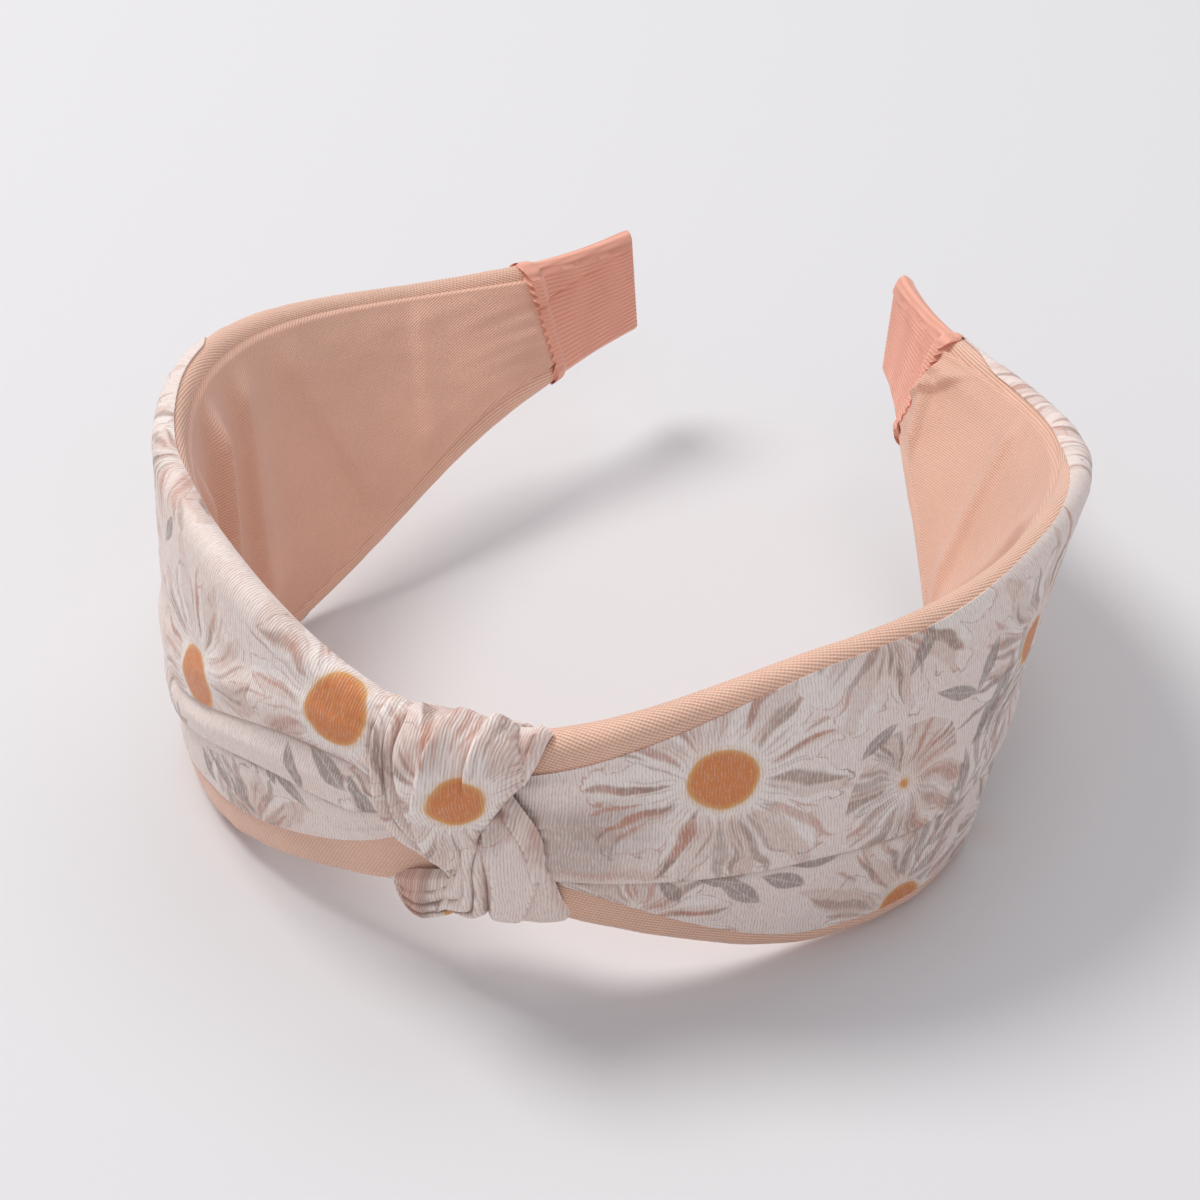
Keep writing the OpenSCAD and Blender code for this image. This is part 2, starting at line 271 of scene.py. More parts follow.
def shut_in(pieces, reach=5.0, off=0.25, rays=12, stride=4):
    """Stores in each piece's cloth attribute how much of the space above each point is filled within
    reach by the pieces' folds, unless a greater number is there already. The chiffon darkens its
    colour by this number, as painted shade in the folds. Rays find it, from off above every few
    points, and it is spread between them."""
    arrays = [piece_arrays(piece) for piece, _ in pieces]
    starts = np.cumsum([0] + [len(points) for points, _, _ in arrays])
    solids = [(points, faces + first) for (points, _, faces), first in zip(arrays, starts)]
    tree = BVHTree.FromPolygons(*(np.concatenate(part).tolist() for part in zip(*solids)))
    rng = np.random.default_rng(8)
    spread = rng.normal(size=(rays, 3))
    spread *= 0.97 / np.linalg.norm(spread, axis=1, keepdims=True)
    for (piece, shape), (points, normals, _) in zip(pieces, arrays):
        rows, columns = (np.unique([*range(0, size, stride), size - 1]) for size in shape)
        chosen = (rows[:, None] * shape[1] + columns[None]).ravel()
        filled = []
        for point, normal in zip(points[chosen], normals[chosen]):
            start, total = Vector(point + normal * off * MM), 0
            for way in normal + spread:
                gap = tree.ray_cast(start, Vector(way), reach * MM)[3]
                total += 0 if gap is None else 1 - gap / MM / reach
            filled.append(total / rays)
        filled = np.array(filled).reshape(len(rows), len(columns))
        across = np.array([np.interp(np.arange(shape[1]), columns, row) for row in filled])
        full = np.array([np.interp(np.arange(shape[0]), rows, column) for column in across.T]).T
        layer = piece.data.attributes["cloth"].data
        cloth = np.empty(len(points) * 3, np.float32)
        layer.foreach_get("vector", cloth)
        cloth[2::3] = np.maximum(cloth[2::3], full.ravel())
        layer.foreach_set("vector", cloth)


def waves(x, y, seed, scale, octaves=3):
    """Smooth seeded noise from -1 to 1 over x and y, with features about scale in size."""
    rng = np.random.default_rng(seed)
    total = np.zeros(np.broadcast(x, y).shape)
    for octave in range(octaves):
        for _ in range(5):
            angle, phase = rng.uniform(0, 2 * math.pi, 2)
            pace = rng.uniform(0.7, 1.5) * 2 ** octave / scale * 2 * math.pi
            total += np.sin(pace * (x * math.cos(angle) + y * math.sin(angle)) + phase) / 2 ** octave
    return total / 5


# ---------------------------------------------------------------- materials
def plug(tree, slot, value):
    """Feeds a socket from a Value or another socket, or sets it to a number or an RGB triple."""
    if isinstance(value, Value):
        value = value.socket
    if isinstance(value, bpy.types.NodeSocket):
        tree.links.new(value, slot)
    else:
        slot.default_value = (*value, 1) if isinstance(value, tuple) else value


def add_node(tree, kind, feeds, output=0, **settings):
    """Adds a node and returns one of its outputs. feeds holds what goes into its inputs, by their
    names or numbers."""
    node = tree.nodes.new(kind)
    for setting, value in settings.items():
        setattr(node, setting, value)
    for slot, value in feeds.items():
        plug(tree, node.inputs[slot], value)
    return node.outputs[output]


class Value:
    """A socket of a node tree that plain arithmetic builds on."""

    def __init__(self, tree, socket):
        self.tree, self.socket = tree, socket

    def node(self, operation, *others):
        feeds = dict(enumerate((self, *others)))
        return Value(self.tree, add_node(self.tree, "ShaderNodeMath", feeds, operation=operation))

    __add__ = partialmethod(node, "ADD")
    __sub__ = partialmethod(node, "SUBTRACT")
    __mul__ = partialmethod(node, "MULTIPLY")
    __truediv__ = partialmethod(node, "DIVIDE")
    __lt__ = partialmethod(node, "LESS_THAN")
    abs = partialmethod(node, "ABSOLUTE")
    least = partialmethod(node, "MINIMUM")
    most = partialmethod(node, "MAXIMUM")

    def fade(self, low, high, start=0.0, end=1.0):
        """Runs smoothly from start where the value is low to end where it is high."""
        feeds = dict(enumerate((self, low, high, start, end)))
        return Value(self.tree, add_node(self.tree, "ShaderNodeMapRange", feeds,
                                         interpolation_type="SMOOTHSTEP"))


def choose(test, yes, no):
    """yes where test is 1 and no, which is a Value, where it is 0."""
    return no + (no * -1 + yes) * test


class Cloth:
    """A material under construction, with the place on the flat cloth in millimetres at hand, and
    how much painted shade the point gets in folds, from 0 to 1: the greater of how shut in it is by
    folds near it and the painted shade under the scarf's pleats."""

    def __init__(self, name, base, roughness, **sockets):
        self.material = bpy.data.materials.new(name)
        self.material.use_nodes = True
        self.tree = self.material.node_tree
        self.shader = self.tree.nodes["Principled BSDF"]
        self.feed_shader(Base_Color=base, Roughness=roughness, **sockets)
        spot = add_node(self.tree, "ShaderNodeAttribute", {}, "Vector", attribute_name="cloth")
        self.x, self.y, self.fold_shade = self.split("ShaderNodeSeparateXYZ", spot)

    def feed_shader(self, **sockets):
        for socket, value in sockets.items():
            plug(self.tree, self.shader.inputs[socket.replace("_", " ")], value)

    def split(self, kind, vector):
        """The three parts of a vector or a colour."""
        parts = add_node(self.tree, kind, {0: vector}).node.outputs
        return [Value(self.tree, part) for part in parts]

    def vector(self, x, y, z=0.0):
        return add_node(self.tree, "ShaderNodeCombineXYZ", {0: x, 1: y, 2: z})

    def noise(self, x, y, seed=0.0, detail=2.0, roughness=0.5):
        """Noise about 0.5 over coordinates that are already scaled to its features."""
        feeds = {"Vector": self.vector(x, y, seed), "Scale": 1, "Detail": detail,
                 "Roughness": roughness}
        return Value(self.tree, add_node(self.tree, "ShaderNodeTexNoise", feeds))

    def random(self, x, y):
        """Three random numbers from 0 to 1 for each pair of whole numbers x and y."""
        feeds = {"Vector": self.vector(x, y)}
        colour = add_node(self.tree, "ShaderNodeTexWhiteNoise", feeds, "Color")
        return self.split("ShaderNodeSeparateColor", colour)

    def mix(self, share, first, second):
        """A colour between first and second, each an RGB triple or a socket."""
        feeds = {0: share, 6: first, 7: second}
        return add_node(self.tree, "ShaderNodeMix", feeds, 2, data_type="RGBA")

    def finish(self, colour, height, distance, strength, **sockets):
        """Joins the colour and the bump, with its distance in millimetres, to the shader."""
        feeds = {"Height": height, "Distance": distance * MM, "Strength": strength}
        relief = add_node(self.tree, "ShaderNodeBump", feeds)
        self.feed_shader(Base_Color=colour, Normal=relief, **sockets)
        return self.material


def shade(colour, share):
    """A colour that is darker where share is under 1, and lighter over it."""
    return tuple(min(1, channel * share) for channel in colour)


def twill(name, base, pitch, depth):
    """Satin twill: rows of short slanting floats, with a soft sheen. depth is how much darker its
    furrows are than its floats."""
    cloth = Cloth(name, base, 0.5, Sheen_Weight=0.25, Sheen_Roughness=0.4, Specular_IOR_Level=0.3)
    x, y = cloth.x, cloth.y
    pace = 2 * math.pi / pitch
    rows = ((x * 0.28 + y * 0.96) * pace).node("SINE")
    floats = ((x * 0.9 - y * 0.43) * pace).node("SINE")
    weave = (rows + floats * 0.45) * 0.3 + 0.5
    slub = cloth.noise(x * 0.9, y * 4, 3, 3)
    patch = cloth.noise(x * 0.06, y * 0.06, 8, 2)
    tone = (weave * 0.75 + slub * 0.3 + patch * 0.35).fade(0.25, 1.0)
    colour = cloth.mix(tone, shade(base, 1 - depth), shade(base, 1 + depth * 0.3))
    return cloth.finish(colour, weave + slub * 0.3, pitch * 0.26, 0.8)


def grosgrain(name, base):
    """Ribbed ribbon: the ribs are in the mesh, and the fine threads across them here."""
    cloth = Cloth(name, base, 0.55, Sheen_Weight=0.3, Sheen_Roughness=0.4, Specular_IOR_Level=0.3)
    x, y = cloth.x, cloth.y
    groove = (y * (2 * math.pi / RIB_PITCH)).node("COSINE") * 0.5 + 0.5
    thread = (x * (2 * math.pi / 0.22) + cloth.noise(x * 2, y * 2, 5) * 3).node("SINE") * 0.5 + 0.5
    patch = cloth.noise(x * 0.15, y * 0.15, 2, 2)
    tone = (groove * 0.55 + thread * 0.15 + patch * 0.4).fade(0.1, 1.0)
    colour = cloth.mix(tone, shade(base, 0.80), shade(base, 1.08))
    return cloth.finish(colour, thread + groove, 0.05, 0.6)


def foamed(name, base):
    """Polyurethane foam: a fine open-celled grain."""
    cloth = Cloth(name, base, 0.9)
    cells = cloth.noise(cloth.x * 3, cloth.y * 3, 1, 4, 0.7)
    colour = cloth.mix(cells, shade(base, 0.85), shade(base, 1.05))
    return cloth.finish(colour, cells, 0.15, 0.8)


def plastic(name, base):
    """The strip's plastic: smooth, with faint drawn lines along it."""
    cloth = Cloth(name, base, 0.35, Specular_IOR_Level=0.5)
    lines = cloth.noise(cloth.x * 0.1, cloth.y * 4, 6, 3)
    colour = cloth.mix(lines, shade(base, 0.94), shade(base, 1.03))
    return cloth.finish(colour, lines, 0.02, 0.4, Roughness=lines.fade(0.2, 0.8, 0.28, 0.42))


def threads(name, base):
    """Twisted sewing thread."""
    cloth = Cloth(name, base, 0.6, Sheen_Weight=0.4)
    twist = ((cloth.x + cloth.y) * (2 * math.pi / 0.5)).node("SINE") * 0.5 + 0.5
    colour = cloth.mix(twist, shade(base, 0.8), shade(base, 1.05))
    return cloth.finish(colour, twist, 0.08, 0.6)


# Print of the chiffon. Places are millimetres on the cloth: along to the right, and up. Each panel
# of cloth below a pleat has its own stretch of the print, PANEL lower than the panel above.
PANEL = 60
OFF_WHITE, BLUSH = (0.98, 0.88, 0.82), (0.92, 0.75, 0.68)
TAUPE, ROSE, GREY = (0.34, 0.205, 0.16), (0.58, 0.25, 0.165), (0.32, 0.25, 0.22)
AMBER, GOLD, VEIL = (0.70, 0.21, 0.05), (0.78, 0.42, 0.12), (0.68, 0.45, 0.37)
# The next line's colours are a painted highlight on the crinkle's ridges, painted shade in its furrows and
# painted shade in the folds
GLINT, PAINTED_CRINKLE_SHADE, PAINTED_FOLD_SHADE = (1.0, 0.975, 0.95), (0.42, 0.28, 0.23), (0.36, 0.235, 0.19)
PETALS, LEAFLET, CRINKLE_PITCH = 11, 4.8, 0.42
# Each daisy is its centre, the radius of its eye and the length of its petals
DAISIES = (
    (33.5, 10.0, 4.7, 17), (87.5, 8.5, 3.4, 15), (59.5, 0.5, 0.7, 8), (58, 29, 1.0, 17),
    (61, -22.5 - PANEL, 3.6, 13), (22, -16 - PANEL, 1.0, 13), (120, -10 - PANEL, 3.6, 15),
    (140, 9, 3.2, 13), (118, 12, 3.4, 12), (84, -22 - PANEL, 2.6, 12),
    (-17, 13.9, 4.5, 15), (-45.5, 3.4, 4.6, 16), (-82, 10.7, 3.6, 16), (-63, -19 - PANEL, 3.0, 13),
    (-35, -19 - 2 * PANEL, 1.0, 14), (-4, -1 - PANEL, 1.0, 12), (-104, -12 - 2 * PANEL, 3.6, 14),
    (-126, 6, 3.4, 14), (-148, -6 - 2 * PANEL, 2.8, 11), (-66, 31, 2.4, 12),
    (202.3, 7.2, 3.8, 13), (196, -14, 1.0, 10), (222, -2, 1.0, 12), (268.5, -18.6, 1.0, 9),
)
# Each leaf is its middle, its angle in degrees, and its half length and half width
LEAVES = (
    (36, -10.3 - PANEL, -48, 4.6, 1.5), (33, -7.6 - PANEL, -22, 3.8, 1.2),
    (42, -10.0 - PANEL, -28, 3.6, 1.5), (46, -7.6 - PANEL, -4, 4.0, 1.1), (27, -9 - PANEL, -70, 3.2, 1.1),
    (55, 9.4, 35, 3.3, 1.3), (68.5, 11.3, -30, 4.4, 1.2), (74.5, 12.5, 62, 4.8, 1.3),
    (78, 5.6, 48, 4.2, 1.4), (75, 1.9, 70, 4.0, 1.2), (70, -3.8, 60, 3.0, 1.1), (62, 21, 55, 4.0, 1.2),
    (74.5, -6.9 - PANEL, 65, 3.6, 1.2), (-18.5, 4 - PANEL, -35, 4.0, 1.6), (-13, 1 - PANEL, -55, 3.8, 1.4),
    (-24, 1.5 - PANEL, -75, 4.0, 1.2), (-26, -4 - PANEL * 2, -40, 4.0, 1.2),
    (-29.5, -1.8 - PANEL * 2, -75, 3.4, 1.1), (-37, -12.4 - PANEL * 2, -60, 3.6, 1.1),
    (-42.5, -12.4 - PANEL * 2, -20, 3.4, 1.0), (-47, -14 - PANEL * 2, -50, 3.2, 1.0),
    (-58, 20, 60, 3.6, 1.2), (-90, -8, 30, 3.8, 1.3), (-112, 14, -30, 3.6, 1.4), (108, 2, 60, 3.8, 1.3),
    (130, -2, 20, 3.4, 1.2), (102, -16 - PANEL, -30, 3.6, 1.3),
)
# Each soft patch is its middle, how far it reaches along and up, and its colour. The taupe ones
# near the knot are painted shadow of the knot's folds, and the others are tints of the print
TINTS_AND_SHADOWS = (
    (14, -1, 13, 9, TAUPE), (20, -4.5, 11, 2.4, ROSE), (20, 4, 9, 6, TAUPE), (198.5, 14, 4, 3, GREY),
    (227, -9, 6, 5, TAUPE), (234, -14, 3, 4, ROSE), (-22, 6, 10, 3.5, TAUPE), (66, 14, 12, 7, BLUSH),
    (193, 4, 3, 12, BLUSH), (48, -12 - PANEL, 13, 3, BLUSH),
)
# Each sprig is the foot of its stem, its angle in degrees and its length
SPRIGS = (
    (62, -18 - PANEL, 48, 26), (66, -14, 52, 30), (74, -12, 68, 27), (-43, -9 - PANEL * 2, -62, 10),
    (-98, 4, 70, 20), (104, -22 - PANEL, 100, 22), (128, 16, -60, 18),
    (-60, -24 - PANEL, 60, 18),
)


def nearest(places, measure):
    """Chains through places and keeps, at each point, the one whose measure is least."""
    best, kept = None, None
    for entry in places:
        score, values = measure(*entry)
        if best is None:
            best, kept = score, values
            continue
        closer = score < best
        kept = [choose(closer, new, old) for new, old in zip(values, kept)]
        best = score.least(best)
    return kept


def distance(dx, dy):
    """The length of a step of two Values."""
    return (dx * dx + dy * dy).node("SQRT")


def turned(x, y, cx, cy, degrees):
    """How far a point is from a centre, along a direction and across it."""
    c, s = math.cos(math.radians(degrees)), math.sin(math.radians(degrees))
    return (x - cx) * c + (y - cy) * s, (y - cy) * c - (x - cx) * s


def draw_daisies(cloth, sway, grain):
    """The daisies: a pale veil of strokes, dark strokes, where the petals reach, and the distance
    outside the nearest eye."""
    px, py = cloth.x + sway[0], cloth.y + sway[1]

    def daisy(cx, cy, eye, petal):
        return distance(px - cx, py - cy) / petal, [px * 0 + part for part in (cx, cy, eye, petal)]

    flower, up, size, reach = nearest(DAISIES, daisy)
    away = distance(px - flower, py - up)
    share, past_eye = away / reach, away - size
    angle = (py - up).node("ARCTAN2", px - flower)

    def strokes(count, seed, width, first, length):
        """Tapered brush strokes round the nearest eye. They start up to first from it."""
        turn = angle * (count / 2 / math.pi)
        number = turn.node("FLOOR")
        chance = cloth.random(number.node("FLOORED_MODULO", count), flower + seed)
        run = (past_eye - chance[0] * first - 0.6) / (chance[1] * 0.6 + 0.7) / length
        arch = run * (run * -1 + 1)
        bent = run * (chance[2] - 0.5) * 1.6
        across = (turn - number - 0.5 + (chance[0] - 0.5) * 0.4) * away * (2 * math.pi / count)
        body = arch.most(0) * (chance[1] * 2.4 + 1.4) * width
        stroke = ((across + bent).abs() - body).fade(-0.35, 0.25, 1, 0)
        return stroke * arch.fade(0.0, 0.08) * (chance[2] * 0.4 + 0.6)

    veil = strokes(11, 19, 2.3, 1.2, 13.0)
    broad = strokes(13, 3, 0.95, 2.0, 10.5)
    tips = strokes(19, 7, 0.62, 7.0, 7.0)
    fine = strokes(43, 11, 0.2, 0.8, 6.0)
    lobe = ((angle * (PETALS / 2 / math.pi)).node("FRACT") - 0.5).abs()
    tip = lobe * lobe * -1.3 + 1.02 + (grain - 0.5) * 0.4
    rim = (share - tip).abs().fade(0.0, 0.028, 1, 0) * grain.fade(0.35, 0.6)
    within = (share - tip).fade(-0.02, 0.02, 1, 0)
    dark = broad.most(tips * 0.85).most(fine * 0.85).most(rim * 0.75)
    calm = 0.2  # an eye is drawn with a steadier hand than the petals
    past_round = distance(cloth.x - flower + sway[0] * calm, cloth.y - up + sway[1] * calm) - size
    return veil, dark, within, past_round


def draw_leaves(x, y):
    """The leaves, and the pale rib down the middle of each."""
    def leaf(cx, cy, degrees, long, wide):
        along, across = turned(x, y, cx, cy, degrees)
        along, across = along / long, across / wide
        edge = across.abs() / (along * 0.3 + 1).most(0.3) + along * along
        return edge, [edge, across]

    edge, across = nearest(LEAVES, leaf)
    return edge.fade(0.82, 1.12, 1, 0), across.abs().fade(0.0, 0.16, 0.3, 0)


def draw_sprigs(x, y):
    """Curved stems, with pointed leaflets by turns on either side."""
    def sprig(cx, cy, degrees, length):
        along, across = turned(x, y, cx, cy, degrees)
        across = across + along * along * 0.008 - along * 0.1
        outside = (along * -1).most(along - length).most(0.0)
        return across.abs() + outside * 2, [across, along, outside]

    across, along, outside = nearest(SPRIGS, sprig)
    off_stem = across.abs()
    step = (along - off_stem * 1.5 + (across < 0.0) * (LEAFLET / 2)) / LEAFLET
    from_axis = (step.node("FRACT") - 0.5).abs() * LEAFLET * 0.55
    blade = (off_stem * (math.pi / LEAFLET)).least(math.pi).node("SINE").most(0.0) * 0.85
    blades = (from_axis - blade).fade(-0.12, 0.15, 1, 0) * (off_stem < LEAFLET)
    stem = off_stem.fade(0.12, 0.34, 1, 0)
    return blades.most(stem) * (outside < 0.05)


def draw_crinkle(cloth):
    """Fine broken ridges across the band, from 0 to 1."""
    x, y = cloth.x, cloth.y
    drift = (cloth.noise(x * 0.1, y * 0.16, 71, 2) - 0.5) * 22
    drift += (cloth.noise(x * 0.9, y * 0.7, 73, 1) - 0.5) * 5
    ridge = (x * (2 * math.pi / CRINKLE_PITCH) + drift).node("SINE") * 0.5 + 0.5
    broken = cloth.noise(x * 1.9, y * 0.8, 79, 2).fade(0.3, 0.62, 0.25, 1)
    flecks = cloth.noise(x * 3.6, y * 1.1, 83, 1)
    return ridge * broken * 0.62 + flecks * 0.38


def chiffon(name):
    """Crinkled chiffon with a drawn print of daisies, leaves and sprigs, and painted highlights and
    shade on its crinkles and in its folds.
    """
    cloth = Cloth(name, OFF_WHITE, 0.6, Sheen_Weight=0.2, Sheen_Roughness=0.35,
                  Specular_IOR_Level=0.35)
    x, y = cloth.x, cloth.y
    sway = [(cloth.noise(x * 0.13, y * 0.13, seed, 1) - 0.5) * 5 for seed in (11, 23)]
    lx, ly = x + sway[0] * 0.25, y + sway[1] * 0.25
    grain = cloth.noise(x * 0.4, y * 0.4, 31, 2)
    ink = grain.fade(0.2, 0.6, 0.7, 1.0)
    veil, dark, within, past_eye = draw_daisies(cloth, sway, grain)
    leaves, rib = draw_leaves(lx, ly)
    sprigs = draw_sprigs(lx, ly)
    crinkle = draw_crinkle(cloth)

    patch = cloth.noise(x * 0.07, y * 0.07, 41, 3)
    colour = cloth.mix(within.fade(0, 1, 0.7, 0.2).most(patch.fade(0.46, 0.62, 0, 0.95)),
                       OFF_WHITE, BLUSH)
    # Tints of the print, and painted shadow of the knot in the taupe patches near it
    for cx, cy, long, high, spot_colour in TINTS_AND_SHADOWS:
        off_middle = distance((x + sway[0] - cx) / long, (y + sway[1] - cy) / high)
        colour = cloth.mix(off_middle.fade(0.2, 1.0, 1, 0) * ink * 0.42, colour, spot_colour)
    rosy = cloth.noise(x * 0.1, y * 0.1, 53, 1).fade(0.46, 0.6)
    colour = cloth.mix(veil * ink * 0.6, colour, VEIL)
    colour = cloth.mix(dark * ink * 0.92, colour, cloth.mix(rosy, TAUPE, ROSE))
    colour = cloth.mix(leaves.most(sprigs * 0.72) * (ink * 0.82 - rib * leaves), colour, GREY)

    specks = cloth.noise(x * 2.2, y * 2.2, 61, 2).fade(0.5, 0.7)
    ring = past_eye.fade(-0.9, 0.0)
    halo = past_eye.fade(0, 1.1, 1, 0) * grain.fade(0.3, 0.6)
    eye = past_eye.fade(-0.2, 0.25, 1, 0)
    colour = cloth.mix(halo * 0.4, colour, GOLD)
    colour = cloth.mix(eye * 0.95, colour,
                       cloth.mix((ring * 0.75).most(specks * 0.4), AMBER, GOLD))

    # Painted highlights on the crinkle's ridges and painted shade in its furrows, less over the eyes
    bare = eye * -0.6 + 1
    colour = cloth.mix(crinkle.fade(0.45, 0.8, 0.0, 0.42) * bare, colour, GLINT)
    colour = cloth.mix(crinkle.fade(0.12, 0.36, 0.45, 0.0) * bare, colour, PAINTED_CRINKLE_SHADE)
    # Painted shade: darker where folds shut the cloth in and just under the scarf's pleats
    colour = cloth.mix(cloth.fold_shade.fade(0.04, 0.7, 0.0, 0.8), colour, PAINTED_FOLD_SHADE)
    return cloth.finish(colour, crinkle, 0.14, 0.8, Roughness=crinkle.fade(0.4, 0.8, 0.65, 0.4))


RIB_PITCH = 0.85
PEACH, PEACH_INNER, SALMON = (0.91, 0.56, 0.415), (0.84, 0.50, 0.37), (1.0, 0.465, 0.34)
TWILL = twill("satin_twill", PEACH, pitch=0.46, depth=0.40)
LINING_TWILL = twill("lining_twill", PEACH_INNER, pitch=0.36, depth=0.24)
CHIFFON = chiffon("printed_chiffon")
RIBBON = grosgrain("ribbed_ribbon", SALMON)
FOAM = foamed("cream_foam", (0.83, 0.78, 0.66))
STRIP = plastic("strip_plastic", (0.82, 0.82, 0.80))
THREAD = threads("white_thread", (0.80, 0.76, 0.71))

# ---------------------------------------------------------------- how pieces join the frame
BEND_FROM, BEND_TO = 6, 45  # distances along, at which finish_piece works out two points that it does not use


def finish_piece(piece, material, nodes, body="crown", side=None):
    """Gives a piece its material and slot, and hides the CAD nodes that it stands for. It makes the
    piece ride on one body or, where side is given, bakes its placement into its points."""
    piece.data.materials.append(material)
    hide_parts(*nodes)
    if side is None:
        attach(piece, body)
    else:
        start, end = place(SIDES[side], np.array([BEND_FROM, BEND_TO]), 0.0, 0.0)
        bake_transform(piece)


def layer_nodes(layer, side):
    """The CAD nodes of a layer that one side's piece stands for."""
    return [f"{layer}_crown", f"{layer}_{side}"]


# ---------------------------------------------------------------- hidden layers
CAP_POINTS, SLAB_ROUND = 9, 0.3  # points round a slab's edge, and how far in from it the curve is
COVERED = WRAP_FROM + 1.5  # the cover and the lining end under the ribbon


def slab_piece(name, side, stations, inner, outer):
    """A plain layer as wide as the strip, with rounded edges, between two faces. inner and outer
    give a face's depth from along and height."""
    along = stations[:, None]
    half = core_half(along)
    turn = np.linspace(-math.pi / 2, math.pi / 2, CAP_POINTS)[None]
    parts = []
    for face, edge in ((outer, 1), (inner, -1)):
        height = (half - SLAB_ROUND) * np.linspace(-edge, edge, 25)[None]
        parts.append((face(along, height), height))
        top, bottom = outer(along, edge * half), inner(along, edge * half)
        parts.append(((top + bottom) / 2 - (top - bottom) / 2 * np.sin(turn * edge),
                      edge * (half - SLAB_ROUND + SLAB_ROUND * np.cos(turn))))
    # A row starts at the middle of an edge, so that its two halves face one another
    depth, height = (np.roll(np.concatenate(part, 1), CAP_POINTS // 2, 1) for part in zip(*parts))
    flat = np.stack(np.broadcast_arrays(along, height), -1)
    return loft(name, place(SIDES[side], along, depth, height), flat, side=SIDES[side], sharp=None)


def make_strip(side):
    """The springy plastic strip inside the band."""
    stations = np.linspace(0, HALF_LENGTH - WRAP_THICK - 0.3, 90)
    piece = slab_piece(f"strip_{side}", side, stations, lambda s, h: -CORE / 2 + 0 * h,
                       lambda s, h: CORE / 2 + 0 * h)
    finish_piece(piece, STRIP, layer_nodes("core", side), side=side)


def make_foam(side):
    """The foam between the strip and the cover's outer face."""
    stations = np.linspace(0, WRAP_FROM - 12, 90)
    under = COVER + FIT_GAP + 0.1  # from the cover's outer face
    piece = slab_piece(f"foam_sheet_{side}", side, stations,
                       lambda s, h: CORE / 2 + FIT_GAP + 0 * h, lambda s, h: face_at(s, h) - under)
    finish_piece(piece, FOAM, layer_nodes("foam", side), side=side)


# ---------------------------------------------------------------- cover and lining
def make_cover(side):
    """The twill cover, rolled round both edges and turned in on the inner side."""
    thick, trimmed = 0.5, 1.6
    along = np.linspace(0, COVERED, 230)[:, None]
    ends = half_width(along) - EDGE_ROLL + roll_length(along) + HEM - trimmed
    reach = ends * np.linspace(-1, 1, 241)[None]
    pucker = waves(along * 1.0, reach * 0.25, 4 if side == "left" else 5, 9)
    edge = bump(np.abs(reach), half_width(along) - 1.5, 3.5)
    fat = 0.25 * ease(along, 5, 20) * (1 - ease(along, 45, 90))
    depth, height = round_band(along, reach, edge * (0.12 * pucker + fat) - thick / 2)
    piece = cloth_on_band(f"cover_cloth_{side}", side, along, depth, height, thick,
                          on_cloth(side, along, reach))
    finish_piece(piece, TWILL, layer_nodes("cover", side), side=side)


def crease(along, height, at, slant, width, depth):
    """A ridge across the band at a distance along, that slants with height and is steeper on the
    side nearer the knot."""
    gap = along - at - slant * height
    return depth * np.exp(-(gap / width / np.where(gap < 0, 0.5, 1.4)) ** 2)


# Soft creases of each lining: distance along, slant, width and depth in millimetres
CREASES = {
    "left": ((54, 0.25, 3.4, 3.2), (66, 0.3, 3.0, 2.4), (81, 0.42, 3.2, 3.6), (96, 0.3, 3.8, 1.8),
             (118, -0.2, 4.0, 0.5), (140, 0.5, 3.0, 0.6)),
    "right": ((62, 0.1, 2.8, 1.0), (90, -0.35, 3.4, 1.2), (112, -0.5, 3.2, 1.3), (131, 0.55, 2.8, 1.3),
              (161, 0.75, 2.2, 1.6), (163, -0.8, 1.8, 1.0)),
}


def make_lining(side):
    """The twill lining, glued over the cover's hems, with its soft creases. It is gathered where
    the ribbon holds it down."""
    thick = 0.45
    gather_seed, drape_seed = (9, 12) if side == "left" else (14, 17)
    along = np.linspace(0, COVERED, 260)[:, None]
    share = np.linspace(-1, 1, 121)[None]
    half = half_width(along) - EDGE_ROLL - 0.35
    height = half * share
    rise = 0.22 * (1 + waves(along, height, drape_seed, 26, 3))
    for at, slant, width, depth in CREASES[side]:
        rise += crease(along, height, at, slant, width, depth)
    gathered = np.clip(0.5 + waves(along * 0.2, height, gather_seed, 7, 2), 0, 1.3)
    rise += 0.8 * gathered * np.exp(-np.maximum(WRAP_FROM - along, 0) / 7)
    rise *= 1 - ease(along, WRAP_FROM - 2.6, WRAP_FROM - 0.9)
    edge = 1 - ease(np.abs(share), 0.6, 0.985)
    lift = mix(0.3, -0.4, ease(np.abs(share), 0.955, 1.0))
    depth = -INNER_FACE - lift - thick / 2 - rise * edge * ease(along, 16, 40)
    piece = cloth_on_band(f"lining_cloth_{side}", side, along, depth, height, thick,
                          on_cloth(side, along, height))
    finish_piece(piece, LINING_TWILL, layer_nodes("lining", side), side=side)


# ---------------------------------------------------------------- scarf
CHIFFON_THICK = 0.3
FOLDED = []  # the chiffon pieces, each with the shape of its grid of points
LAYER = 0.7  # from one layer of folded chiffon to the next


